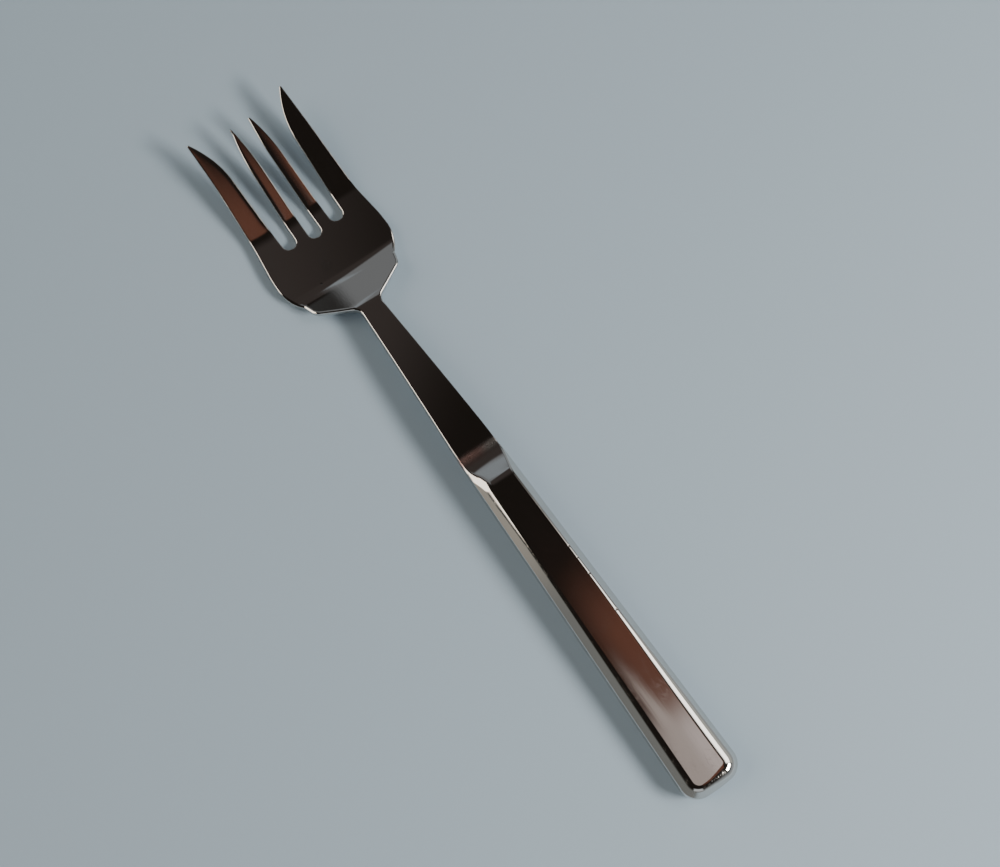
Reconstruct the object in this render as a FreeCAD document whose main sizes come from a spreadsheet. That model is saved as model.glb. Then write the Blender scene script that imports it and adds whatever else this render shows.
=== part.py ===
"""Serving fork: a one-piece polished steel fork with four tines and a thick handle.

The fork lies face up, as on a table. X runs from the butt of the handle to
the tips of the tines, Y to the fork's left and Z up. While it is drawn, the
butt is at X = 0; the finished fork is then moved so that its origin is under
the middle of its length. It touches the table under the bowl and under the
rear end of the handle.

The fork is drawn as two bodies that are fused into one solid:
  blade   shank, bowl and tines: a bent, dished slab, cut to the plan outline
  handle  a straight tapered bar with sloping sides, thinned at its nose,
          which runs into the shank
"""

import FreeCAD, Part
import math
import os
import Sketcher

DOC = FreeCAD.newDocument("serving_fork")

# Driving dimensions, millimetres and degrees.
SIZES = [
    # whole fork
    ("rest_tilt", 1.2, "rise of the handle above the table, degrees"),
    # handle
    ("handle_thick", 8.0, "handle, upper flat to lower flat"),
    ("handle_butt_half", 9.3, "half width of the handle at its butt"),
    ("handle_front_at", 112.0, "where the handle's sides start to turn into the shank"),
    ("handle_front_half", 6.5, "half width of the handle there"),
    ("nose_at", 121.0, "hidden end of the handle's nose inside the shank"),
    ("nose_half", 5.5, "half width of the nose there"),
    ("nose_turn", 60.0, "radius of the turn from the sides into the nose"),
    ("butt_bow", 0.6, "how far the butt bulges beyond its corners"),
    ("butt_bow_radius", 50.0, "radius at the middle of the butt"),
    ("butt_corner", 5.5, "radius of the butt's corners in plan"),
    ("slope_run", 2.4, "width in plan of the sloping sides"),
    ("slope_drop", 2.6, "height of the sloping sides"),
    ("slope_round", 1.2, "rounding of both edges of the sloping sides"),
    ("ramp_top_at", 105.6, "corner between the flat and the ramp"),
    ("ramp_foot_at", 112.8, "corner between the ramp and the nose"),
    ("ramp_top_radius", 10.0, "rounding at the top of the ramp"),
    ("ramp_foot_radius", 18.0, "hollow at the foot of the ramp"),
    ("ramp_entry", 0.3, "how far the ramp's cut starts above the flat"),
    ("nose_sink", 0.02, "how far the ramp's foot lies below the shank's faces"),
    ("nose_taper", 0.15, "how far the end of the nose lies below them"),
    # shank, in the side view
    ("shank_start", 106.0, "where the blade starts, hidden inside the handle"),
    ("shank_thick", 2.8, "thickness of the shank"),
    ("shank_bend_at", 139.5, "corner where the shank bends down from the handle's axis"),
    ("shank_bend_radius", 540.0, "radius of that long bend"),
    ("neck_at", 170.4, "corner where the step down to the bowl starts"),
    ("neck_height", 4.81, "middle of the metal at that corner"),
    ("neck_radius", 10.0, "radius of the bend there"),
    # shank, from above
    ("shank_start_half", 6.6, "half width where the blade starts"),
    ("shank_turn_at", 119.0, "where the shank starts to narrow faster"),
    ("shank_turn_half", 6.15, "half width there"),
    ("shank_turn_radius", 150.0, "radius of that turn"),
    # bowl
    ("neck_corner_at", 169.1, "corner between shank and shoulder"),
    ("neck_corner_half", 3.5, "half width there"),
    ("neck_corner_radius", 3.2, "hollow radius there"),
    ("lobe_at", 175.4, "corner of the shoulder's lobe"),
    ("lobe_half", 14.7, "half width there"),
    ("lobe_radius", 3.5, "radius of the lobe"),
    ("notch_at", 179.1, "the notch behind the bowl"),
    ("notch_half", 15.75, "half width at the notch"),
    ("notch_radius", 0.7, "radius in the notch"),
    ("bowl_corner_at", 183.6, "corner of the bowl"),
    ("bowl_corner_half", 19.4, "half width there"),
    ("bowl_corner_radius", 12.5, "radius of the bowl's corner"),
    ("bowl_side_at", 192.0, "where the bowl's side starts to taper"),
    ("bowl_side_half", 19.1, "half width there"),
    ("bowl_side_radius", 25.0, "radius there"),
    ("heel_at", 181.6, "corner at the foot of the step down to the bowl"),
    ("heel_radius", 12.0, "radius of the bend there"),
    ("bowl_thick", 2.0, "thickness of the bowl"),
    ("dish_radius", 200.0, "radius of the hollow across bowl and tines"),
    # tines
    ("tine_bend_at", 205.0, "corner of the tines' rise, in the side view"),
    ("tine_bend_radius", 25.0, "radius of the bend at the tines' roots"),
    ("tine_thick", 1.8, "thickness at that corner"),
    ("tip_lift", 7.0, "underside of the tips above the table"),
    ("tip_thick", 1.1, "thickness at the tips"),
    ("outer_root_at", 203.0, "foot of the outer tines' outer edge"),
    ("outer_root_half", 17.8, "half width there"),
    ("outer_root_radius", 60.0, "radius there"),
    ("outer_waist_at", 225.0, "narrowest place of the tines"),
    ("outer_waist_half", 17.05, "half width there"),
    ("outer_waist_radius", 200.0, "radius there"),
    ("outer_tip_at", 240.6, "corner of the outer tines' tips, before it is rounded"),
    ("outer_tip_half", 17.4, "half width there"),
    ("outer_taper_at", 231.2, "corner on the inner edge of an outer tine"),
    ("outer_taper_half", 11.6, "its distance from the middle"),
    ("outer_taper_radius", 32.0, "radius of that edge"),
    ("inner_tip_at", 238.4, "corner of the inner tines' tips, before it is rounded"),
    ("inner_tip_half", 3.5, "its distance from the middle"),
    ("inner_taper_at", 229.0, "corner on the outer edge of an inner tine"),
    ("inner_taper_half", 5.42, "its distance from the middle"),
    ("inner_taper_radius", 60.0, "radius of that edge"),
    ("middle_taper_at", 228.6, "corner on the inner edge of an inner tine"),
    ("middle_taper_half", 1.9, "its distance from the middle"),
    ("middle_taper_radius", 85.0, "radius of that edge"),
    ("side_slot_at", 196.9, "round end of the two side slots"),
    ("side_slot_inner", 6.15, "inner edge of a side slot at its end"),
    ("side_slot_outer", 10.3, "outer edge of a side slot at its end"),
    ("middle_slot_at", 195.9, "round end of the middle slot"),
    ("middle_slot_half", 2.05, "half width of the middle slot at its end"),
    ("slot_relief", 0.05, "short straight piece left between a slot's two end arcs"),
    ("tip_round", 0.42, "radius of the tips in plan"),
    # room for cutting
    ("margin", 12.0, "how far the cutting outlines reach beyond the metal"),
    ("slab_margin", 6.0, "how far the dished slab reaches beyond the bowl's sides"),
    ("tip_overrun", 2.5, "how far the slab runs on past the tips before it is cut"),
]


class Size:
    """A size and the expression that ties it to the sheet."""

    def __init__(self, value, text=None):
        self.value = float(value)
        self.text = text if text is not None else repr(float(value))

    def _join(self, other, sign, value):
        return Size(value, "(%s %s %s)" % (self.text, sign, other.text))

    def __add__(self, other):
        other = as_size(other)
        return self._join(other, "+", self.value + other.value)

    def __sub__(self, other):
        other = as_size(other)
        return self._join(other, "-", self.value - other.value)

    def __mul__(self, other):
        other = as_size(other)
        return self._join(other, "*", self.value * other.value)

    def __truediv__(self, other):
        other = as_size(other)
        return self._join(other, "/", self.value / other.value)


def as_size(number):
    """A plain number as a Size, so that the two can be mixed."""
    return number if isinstance(number, Size) else Size(number)


def slope_of(angle):
    """The tangent of an angle in the sheet, given in degrees."""
    return Size(math.tan(math.radians(angle.value)), "tan(%s * 1 deg)" % angle.text)


def angle_across(half_width, radius):
    """The angle in degrees that spans half_width to both sides of a far axis."""
    value = math.degrees(2 * math.atan(half_width.value / radius.value))
    return Size(value, "(2 * atan(%s / %s))" % (half_width.text, radius.text))


class Sheet:
    """The spreadsheet with the driving dimensions; each is also an attribute here."""

    def __init__(self, doc, rows):
        self.table = doc.addObject("Spreadsheet::Sheet", "Sizes")
        for number, (name, value, note) in enumerate(rows, start=1):
            self.table.set("A%d" % number, name)
            self.table.set("B%d" % number, str(value))
            self.table.set("C%d" % number, note)
            self.table.setAlias("B%d" % number, name)
            setattr(self, name, Size(value, "Sizes.%s" % name))
        doc.recompute()


S = Sheet(DOC, SIZES)

# Below this, two places are the same, and a direction lies flat.
NEAR = 1e-4

# Sketches.


def origin_plane(body, role):
    """The body's own origin plane with this role, such as XY_Plane."""
    return next(item for item in body.Origin.OriginFeatures if item.Role == role)


def new_sketch(body, name, role, offset=None):
    """An empty sketch on one of the body's planes, moved along its normal by offset."""
    sketch = body.newObject("Sketcher::SketchObject", name)
    sketch.AttachmentSupport = [(origin_plane(body, role), "")]
    sketch.MapMode = "FlatFace"
    if offset is not None:
        sketch.AttachmentOffset = FreeCAD.Placement(
            FreeCAD.Vector(0, 0, offset.value), FreeCAD.Rotation())
        sketch.setExpression("AttachmentOffset.Base.z", offset.text)
    return sketch


def bind(sketch, constraint_number, size):
    """Tie a sketch constraint to the sheet."""
    sketch.setExpression("Constraints[%d]" % constraint_number, size.text)


def place_point(sketch, geometry, position, x, y):
    """Hold a point at x, y from the sketch's origin."""
    for kind, size in (("DistanceX", x), ("DistanceY", y)):
        if size.value >= 0:
            ends = (-1, 1, geometry, position)
            bound = size
        else:
            ends = (geometry, position, -1, 1)
            bound = as_size(0) - size
        number = sketch.addConstraint(Sketcher.Constraint(kind, *ends, bound.value))
        bind(sketch, number, bound)


def rounded_polygon(sketch, corners):
    """Draw a closed polygon whose corners may be rounded.

    Each corner is (x, y, radius) with radius None for a sharp one. The lines
    run through construction points at the corners, which are tied to the
    sheet, and an arc of the corner's radius touches both lines there.
    """
    count = len(corners)
    places = [FreeCAD.Vector(x.value, y.value, 0) for x, y, _ in corners]
    starts = []
    ends = []
    middles = []
    for number, (_, _, radius) in enumerate(corners):
        corner = places[number]
        before = (places[number - 1] - corner).normalize()
        after = (places[(number + 1) % count] - corner).normalize()
        if radius is None:
            starts.append(corner)
            ends.append(corner)
            middles.append(None)
            continue
        half = before.getAngle(after) / 2
        reach = radius.value / math.tan(half)
        inward = (before + after).normalize()
        centre = corner + inward * (radius.value / math.sin(half))
        starts.append(corner + before * reach)
        ends.append(corner + after * reach)
        middles.append(centre - inward * radius.value)
    lines = [sketch.addGeometry(Part.LineSegment(ends[n], starts[(n + 1) % count]), False)
             for n in range(count)]
    for number, (x, y, radius) in enumerate(corners):
        line_in = lines[number - 1]
        line_out = lines[number]
        if radius is None:
            sketch.addConstraint(Sketcher.Constraint("Coincident", line_in, 2, line_out, 1))
            place_point(sketch, line_out, 1, x, y)
            continue
        arc = sketch.addGeometry(Part.Arc(starts[number], middles[number], ends[number]), False)
        # An arc always runs anticlockwise, so its first point may be either end.
        first = sketch.getPoint(arc, 1)
        at_in = 1 if first.distanceToPoint(starts[number]) < first.distanceToPoint(ends[number]) else 2
        at_out = 3 - at_in
        sketch.addConstraint(Sketcher.Constraint("Tangent", line_in, 2, arc, at_in))
        sketch.addConstraint(Sketcher.Constraint("Tangent", line_out, 1, arc, at_out))
        size = sketch.addConstraint(Sketcher.Constraint("Radius", arc, radius.value))
        bind(sketch, size, radius)
        corner = sketch.addGeometry(Part.Point(places[number]), True)
        place_point(sketch, corner, 1, x, y)
        sketch.addConstraint(Sketcher.Constraint("PointOnObject", corner, 1, line_in))
        sketch.addConstraint(Sketcher.Constraint("PointOnObject", corner, 1, line_out))


def mirrored_corners(corners):
    """The corners again on the other side of the middle line, in turning order."""
    return [(x, as_size(0) - y, radius) for x, y, radius in reversed(corners)]


# Features.


def symmetric(feature, sketch, length):
    """Make a Pad or Pocket reach length / 2 to both sides of its sketch."""
    feature.Profile = sketch
    feature.Type = "Length"
    feature.SideType = "Symmetric"
    feature.Length = length.value
    feature.setExpression("Length", length.text)
    return feature


def turned(feature, sketch, axis_height):
    """Make a Revolution or Groove about a line along X at this height, to both sides."""
    line = Part.LineSegment(
        FreeCAD.Vector(0, axis_height.value, 0), FreeCAD.Vector(1, axis_height.value, 0))
    axis = sketch.addGeometry(line, True)
    place_point(sketch, axis, 1, as_size(0), axis_height)
    place_point(sketch, axis, 2, S.outer_tip_at, axis_height)
    feature.Profile = sketch
    feature.ReferenceAxis = (sketch, ["Axis0"])
    feature.Midplane = True
    angle = angle_across(S.bowl_corner_half + S.slab_margin, S.dish_radius)
    feature.Angle = angle.value
    feature.setExpression("Angle", angle.text)
    return feature


def edge_names(shape, wanted):
    """The names of the edges for which wanted(edge) is true."""
    return ["Edge%d" % number for number, edge in enumerate(shape.Edges, start=1) if wanted(edge)]


def ends_of(edge):
    """The two end points of an edge."""
    return edge.valueAt(edge.FirstParameter), edge.valueAt(edge.LastParameter)


def round_edges(body, name, wanted, radius):
    """Fillet the edges of the body's tip that are wanted."""
    base = body.Tip
    fillet = body.newObject("PartDesign::Fillet", name)
    fillet.Base = (base, edge_names(base.Shape, wanted))
    fillet.Radius = radius.value
    fillet.setExpression("Radius", radius.text)
    DOC.recompute()
    return fillet


# The handle: a tapered bar about its own mid-plane, later tilted onto the table.


def build_handle():
    """The handle's body, with its axis along X at Z = 0."""
    body = DOC.addObject("PartDesign::Body", "handle")
    half_thick = S.handle_thick / 2
    side = [
        (S.butt_bow, S.handle_butt_half, S.butt_corner),
        (S.handle_front_at, S.handle_front_half, S.nose_turn),
        (S.nose_at, S.nose_half, None),
    ]
    butt_middle = [(as_size(0), as_size(0), S.butt_bow_radius)]
    plan = new_sketch(body, "handle_plan", "XY_Plane")
    rounded_polygon(plan, butt_middle + side + mirrored_corners(side))
    symmetric(body.newObject("PartDesign::Pad", "handle_bar"), plan, S.handle_thick)
    DOC.recompute()

    bar = body.Tip
    rim = edge_names(bar.Shape, is_rim)
    slopes = body.newObject("PartDesign::Chamfer", "handle_slopes")
    slopes.Base = (bar, rim)
    slopes.ChamferType = "Two distances"
    for name, size in (("Size", S.slope_run), ("Size2", S.slope_drop)):
        setattr(slopes, name, size.value)
        slopes.setExpression(name, size.text)
    DOC.recompute()
    round_edges(body, "handle_rounding", is_rim, S.slope_round)

    foot = S.shank_thick / 2 - S.nose_sink
    tip = S.shank_thick / 2 - S.nose_taper
    entry = S.ramp_top_at - S.margin
    beyond = S.nose_at + S.margin
    above = half_thick + S.margin
    upper = [
        (entry, half_thick + S.ramp_entry, None),
        (S.ramp_top_at, half_thick, S.ramp_top_radius),
        (S.ramp_foot_at, foot, S.ramp_foot_radius),
        (beyond, tip, None),
        (beyond, above, None),
        (entry, above, None),
    ]
    ramp = new_sketch(body, "ramp_profile", "XZ_Plane")
    rounded_polygon(ramp, upper)
    rounded_polygon(ramp, mirrored_corners(upper))
    turned(body.newObject("PartDesign::Groove", "ramps"), ramp, S.dish_radius)
    DOC.recompute()

    rise = slope_of(S.rest_tilt)
    lift = half_thick - (S.slope_run + S.butt_bow) * rise
    body.Placement = FreeCAD.Placement(
        FreeCAD.Vector(0, 0, lift.value),
        FreeCAD.Rotation(FreeCAD.Vector(0, -1, 0), S.rest_tilt.value))
    body.setExpression("Placement.Base.z", lift.text)
    body.setExpression("Placement.Rotation.Angle", S.rest_tilt.text)
    return body


def is_rim(edge):
    """True for an edge that runs round the handle, but not across the end of its nose."""
    start, end = ends_of(edge)
    across_nose = min(start.x, end.x) > S.nose_at.value - NEAR
    return abs(start.z - end.z) < NEAR and not across_nose


# The blade: a side profile turned about a far axis, then cut to its plan outline.


def handle_axis(at):
    """Height of the handle's mid-plane above the table at a place along X."""
    rise = slope_of(S.rest_tilt)
    return S.handle_thick / 2 + (at - S.slope_run - S.butt_bow) * rise


def side_profile(body):
    """The blade seen from the side: underside and upper side, each a bent line."""
    middle = [
        (S.shank_start, handle_axis(S.shank_start), S.shank_thick, None),
        (S.shank_bend_at, handle_axis(S.shank_bend_at), S.shank_thick, S.shank_bend_radius),
        (S.neck_at, S.neck_height, S.shank_thick, S.neck_radius),
        (S.heel_at, S.bowl_thick / 2, S.bowl_thick, S.heel_radius),
        (S.tine_bend_at, S.tine_thick / 2, S.tine_thick, S.tine_bend_radius),
    ]
    under = [(at, height - thick / 2, radius) for at, height, thick, radius in middle]
    over = [(at, height + thick / 2, radius) for at, height, thick, radius in middle]
    # The tines run on in a straight line from their bend through the tips.
    end = S.outer_tip_at + S.tip_overrun
    run_on = (end - S.tine_bend_at) / (S.outer_tip_at - S.tine_bend_at)
    under.append((end, S.tip_lift * run_on, None))
    over_rise = S.tip_lift + S.tip_thick - S.tine_thick
    over.append((end, S.tine_thick + over_rise * run_on, None))
    sketch = new_sketch(body, "side_profile", "XZ_Plane")
    rounded_polygon(sketch, under + over[::-1])
    return sketch


def build_blade():
    """The body with shank, bowl and tines, in its place above the table."""
    body = DOC.addObject("PartDesign::Body", "blade")
    slab = body.newObject("PartDesign::Revolution", "slab")
    turned(slab, side_profile(body), S.dish_radius + S.bowl_thick)
    DOC.recompute()

    far = S.outer_tip_at + S.margin
    wide = S.bowl_corner_half + S.margin
    deep = (S.tip_lift + S.margin) * 2
    side_end = (S.side_slot_outer - S.side_slot_inner - S.slot_relief) / 2
    # Everything beside the metal on the fork's left: past the bowl and the
    # outer tine, into the side slot, round the inner tine and into the middle slot.
    outline = new_sketch(body, "outline", "XY_Plane")
    rounded_polygon(outline, [
        (S.shank_start - S.margin, S.shank_start_half, None),
        (S.shank_turn_at, S.shank_turn_half, S.shank_turn_radius),
        (S.neck_corner_at, S.neck_corner_half, S.neck_corner_radius),
        (S.lobe_at, S.lobe_half, S.lobe_radius),
        (S.notch_at, S.notch_half, S.notch_radius),
        (S.bowl_corner_at, S.bowl_corner_half, S.bowl_corner_radius),
        (S.bowl_side_at, S.bowl_side_half, S.bowl_side_radius),
        (S.outer_root_at, S.outer_root_half, S.outer_root_radius),
        (S.outer_waist_at, S.outer_waist_half, S.outer_waist_radius),
        (S.outer_tip_at, S.outer_tip_half, S.tip_round),
        (S.outer_taper_at, S.outer_taper_half, S.outer_taper_radius),
        (S.side_slot_at, S.side_slot_outer, side_end),
        (S.side_slot_at, S.side_slot_inner, side_end),
        (S.inner_taper_at, S.inner_taper_half, S.inner_taper_radius),
        (S.inner_tip_at, S.inner_tip_half, S.tip_round),
        (S.middle_taper_at, S.middle_taper_half, S.middle_taper_radius),
        (S.middle_slot_at, S.middle_slot_half, S.middle_slot_half - S.slot_relief),
        (S.middle_slot_at, as_size(0), None),
        (far, as_size(0), None),
        (far, wide, None),
        (S.shank_start - S.margin, wide, None),
    ])
    cut = symmetric(body.newObject("PartDesign::Pocket", "cut"), outline, deep)
    DOC.recompute()
    both = body.newObject("PartDesign::Mirrored", "both_cuts")
    both.Originals = [cut]
    both.MirrorPlane = (origin_plane(body, "XZ_Plane"), [""])
    body.Tip = both
    DOC.recompute()
    return body


def build_fork(handle, blade):
    """The two bodies as one solid, with its origin under the middle of its box."""
    fork = DOC.addObject("Part::Fuse", "fork")
    fork.Label = "serving_fork"
    fork.Base = handle
    fork.Tool = blade
    DOC.recompute()
    box = fork.Shape.optimalBoundingBox(False)
    fork.Placement = FreeCAD.Placement(
        FreeCAD.Vector(-box.Center.x, -box.Center.y, -box.ZMin), FreeCAD.Rotation())
    DOC.recompute()
    return fork


def check(parts):
    """Stop if any object of the document failed, or a part has no sound solid."""
    for item in DOC.Objects:
        if "Invalid" in item.State or "Error" in item.State:
            raise RuntimeError("%s failed: %s" % (item.Name, item.State))
    for item in parts:
        shape = item.Shape
        if shape.isNull() or not shape.isValid() or len(shape.Solids) != 1:
            raise RuntimeError("%s is not one sound solid" % item.Label)


def write(parts):
    """Write each part's shape to a file named after its label."""
    os.makedirs("parts", exist_ok=True)
    for item in parts:
        item.Shape.exportStep("parts/%s.step" % item.Label)
        box = item.Shape.optimalBoundingBox(False)
        print("%s: %.1f x %.1f x %.1f mm, %.2f cm3" % (
            item.Label, box.XLength, box.YLength, box.ZLength, item.Shape.Volume / 1000))


FORK = build_fork(build_handle(), build_blade())
check([FORK])
write([FORK])
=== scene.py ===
"""Looks of the serving fork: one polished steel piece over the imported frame.

The fork's surface is worked out with numpy from the same sizes as the solid.
Its outline is a closed line of straight runs and arcs, seen from above. A rim
profile is carried along that line, and the upper and lower sides are filled
between the rims. Lengths are millimetres until the mesh is made.
"""

import logging
import math
from dataclasses import dataclass, field
from enum import Enum

import bpy
import numpy as np
from bpy.types import NodeSocket, NodeTree
from mathutils import Matrix, Vector


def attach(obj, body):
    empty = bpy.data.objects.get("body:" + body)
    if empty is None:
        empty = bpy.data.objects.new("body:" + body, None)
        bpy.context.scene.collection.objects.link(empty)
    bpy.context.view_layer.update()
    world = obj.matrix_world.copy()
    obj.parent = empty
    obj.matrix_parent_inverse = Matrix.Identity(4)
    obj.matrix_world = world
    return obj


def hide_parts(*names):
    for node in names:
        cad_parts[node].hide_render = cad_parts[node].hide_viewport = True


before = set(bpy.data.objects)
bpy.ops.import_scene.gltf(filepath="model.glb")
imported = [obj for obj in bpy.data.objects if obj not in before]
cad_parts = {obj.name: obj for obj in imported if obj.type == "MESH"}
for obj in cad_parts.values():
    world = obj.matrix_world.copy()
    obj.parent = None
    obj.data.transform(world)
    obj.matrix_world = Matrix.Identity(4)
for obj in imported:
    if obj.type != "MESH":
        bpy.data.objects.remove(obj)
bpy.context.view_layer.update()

Array = np.ndarray
Pair = tuple[float, float]
Triple = tuple[float, float, float]

LOG = logging.getLogger("fork")
MILLIMETRE = 0.001

# The outline is drawn from the butt, and the frame lies under the middle of the fork's length.
MIDDLE_X = 119.7823


class Side(Enum):
    """The upper or the lower side of the metal."""

    UPPER = 1
    LOWER = -1


@dataclass(frozen=True)
class Corner:
    """A corner of a bent line, in millimetres, with the radius that rounds it."""

    x: float
    y: float
    radius: float

    def mirrored(self) -> "Corner":
        """The same corner on the other side of the fork's middle line."""
        return Corner(self.x, -self.y, self.radius)


class RoundedLoop:
    """A closed line of straight runs and arcs through rounded corners.

    At the corner C with unit directions u towards the corner before and v
    towards the corner after, and the angle 2h between them, the arc of radius
    r starts at C + u r/tan(h), ends at C + v r/tan(h) and has its centre at
    C + (u + v)/|u + v| r/sin(h). Distance s along the line is 0 in the middle
    of the first corner's arc.
    """

    def __init__(self, corners: list[Corner]) -> None:
        """Work out the runs and arcs.

        Args:
            corners: the corners in order, turning clockwise or anticlockwise.
        """
        place = np.array([(c.x, c.y) for c in corners])
        radius = np.array([c.radius for c in corners])
        before = np.roll(place, 1, axis=0) - place
        after = np.roll(place, -1, axis=0) - place
        before /= np.linalg.norm(before, axis=1)[:, None]
        after /= np.linalg.norm(after, axis=1)[:, None]
        half = 0.5 * np.arccos(np.clip((before * after).sum(1), -1, 1))
        reach = (radius / np.tan(half))[:, None]
        middle = before + after
        middle /= np.linalg.norm(middle, axis=1)[:, None]
        self.radius = radius
        self.arc_start = place + before * reach
        self.arc_end = place + after * reach
        self.centre = place + middle * (radius / np.sin(half))[:, None]
        self.heading = -before
        self.turn = np.arctan2(
            before[:, 1] * after[:, 0] - before[:, 0] * after[:, 1], -(before * after).sum(1))
        self.arc_length = np.abs(self.turn) * radius
        run = np.linalg.norm(np.roll(self.arc_start, -1, axis=0) - self.arc_end, axis=1)
        self.s_end = np.cumsum(self.arc_length + np.r_[0, run[:-1]]) - self.arc_length[0] / 2
        self.s_start = self.s_end - self.arc_length
        self.length = float((self.arc_length + run).sum())
        self.after = after

    def start_of(self, corner: int) -> float:
        """Distance along the line at which a corner's arc starts."""
        return float(self.s_start[corner])

    def end_of(self, corner: int) -> float:
        """Distance along the line at which a corner's arc ends."""
        return float(self.s_end[corner])

    def middle_of(self, corner: int) -> float:
        """Distance along the line of the middle of a corner's arc."""
        return float((self.s_start[corner] + self.s_end[corner]) / 2)

    def at(self, s: Array) -> tuple[Array, Array, Array]:
        """Points of the line.

        Args:
            s: distances along the line.

        Returns:
            The points, the unit directions of travel, and the signed curvature.
        """
        s = np.mod(s + self.arc_length[0] / 2, self.length) - self.arc_length[0] / 2
        corner = np.clip(np.searchsorted(self.s_start, s + 1e-9, side="right") - 1, 0, None)
        along = s - self.s_start[corner]
        on_arc = along < self.arc_length[corner] - 1e-9
        angle = np.where(on_arc, along / self.radius[corner], 0) * np.sign(self.turn[corner])
        heading = self.heading[corner]
        turned = np.stack([
            heading[:, 0] * np.cos(angle) - heading[:, 1] * np.sin(angle),
            heading[:, 0] * np.sin(angle) + heading[:, 1] * np.cos(angle)], axis=1)
        spoke = np.stack([turned[:, 1], -turned[:, 0]], axis=1)
        spoke *= (np.sign(self.turn[corner]) * self.radius[corner])[:, None]
        on_run = self.arc_end[corner] + self.after[corner] * (
            along - self.arc_length[corner])[:, None]
        point = np.where(on_arc[:, None], self.centre[corner] + spoke, on_run)
        direction = np.where(on_arc[:, None], turned, self.after[corner])
        curvature = np.where(on_arc, np.sign(self.turn[corner]) / self.radius[corner], 0)
        return point, direction, curvature

    def run_at_x(self, corner: int, x: float) -> float:
        """Distance along the line where the run after a corner passes x."""
        step = (x - self.arc_end[corner, 0]) / self.after[corner, 0]
        return float(self.s_end[corner] + step)


class HeightLine:
    """A height over x: straight runs joined by arcs at rounded corners.

    On a run z = z1 + m (x - x1). On an arc z = zc -+ sqrt(r^2 - (x - xc)^2).
    """

    def __init__(self, corners: list[Corner]) -> None:
        """Work out the runs and arcs.

        Args:
            corners: (x, z, radius) with rising x; the first and last stay sharp.
        """
        x = np.array([c.x for c in corners])
        z = np.array([c.y for c in corners])
        self.x, self.z = x, z
        self.slopes = np.diff(z) / np.diff(x)
        angle = np.arctan(self.slopes)
        inner = range(1, len(corners) - 1)
        radius = np.array([corners[n].radius for n in inner])
        turn = np.diff(angle)
        reach = radius * np.tan(np.abs(turn) / 2)
        self.from_x = x[1:-1] - reach * np.cos(angle[:-1])
        self.to_x = x[1:-1] + reach * np.cos(angle[1:])
        self.sign = np.sign(turn)
        start_z = z[1:-1] - reach * np.sin(angle[:-1])
        self.centre_x = self.from_x - self.sign * radius * np.sin(angle[:-1])
        self.centre_z = start_z + self.sign * radius * np.cos(angle[:-1])
        self.radius = radius

    def at(self, x: Array) -> tuple[Array, Array]:
        """Height and slope at x.

        Args:
            x: places along the fork.

        Returns:
            The heights, and the slopes dz/dx.
        """
        run = np.clip(np.searchsorted(self.x, x, side="right") - 1, 0, len(self.slopes) - 1)
        height = self.z[run] + self.slopes[run] * (x - self.x[run])
        slope = self.slopes[run].copy()
        for n in range(len(self.radius)):
            inside = (x > self.from_x[n]) & (x < self.to_x[n])
            offset = x[inside] - self.centre_x[n]
            fall = np.sqrt(self.radius[n] ** 2 - offset ** 2)
            height[inside] = self.centre_z[n] - self.sign[n] * fall
            slope[inside] = self.sign[n] * offset / fall
        return height, slope


def ease(x: Array, low: float, high: float) -> Array:
    """Smooth step t^2 (3 - 2t), with t from 0 at low to 1 at high."""
    t = np.clip((x - low) / (high - low), 0, 1)
    return t * t * (3 - 2 * t)


def unit(vectors: Array) -> Array:
    """The vectors at length 1, along the last axis."""
    return vectors / np.maximum(np.linalg.norm(vectors, axis=-1, keepdims=True), 1e-12)


@dataclass
class Patch:
    """A grid of points with a normal at each, in millimetres.

    wear is 1 on the metal's edges, which rub against other cutlery, and 0 on
    its flats.
    """

    points: Array
    normals: Array
    wear: Array


@dataclass
class HeadSide:
    """The outline of one half of the head, from the neck to the middle slot.

    The tips of the tines differ a little, as hand grinding leaves them, so
    each half has its own corners there.
    """

    outer_tip: Corner
    outer_taper: Corner
    inner_tip: Corner

    def corners(self) -> list[Corner]:
        """Corners from the neck to the middle slot, on the fork's left."""
        return [
            # The hollow of the neck, the shoulder's lobe and the notch behind the bowl.
            Corner(169.1, 3.5, 3.2),
            Corner(175.4, 14.7, 3.5),
            Corner(179.1, 15.75, 0.7),
            # The bowl's side, which runs on as the outer edge of the outer tine.
            Corner(183.6, 19.38, 12.5),
            Corner(192.0, 19.1, 25.0),
            Corner(203.0, 17.8, 60.0),
            Corner(225.0, 17.05, 200.0),
            self.outer_tip,
            # The outer tine's inner edge, and the round end of the outer slot.
            self.outer_taper,
            Corner(196.9, 10.3, 2.05),
            Corner(196.9, 6.15, 2.05),
            # The two edges of the inner tine, and the round end of the middle slot.
            Corner(229.0, 5.42, 60.0),
            self.inner_tip,
            Corner(228.6, 1.9, 85.0),
            Corner(195.9, 2.05, 2.0),
        ]


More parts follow.
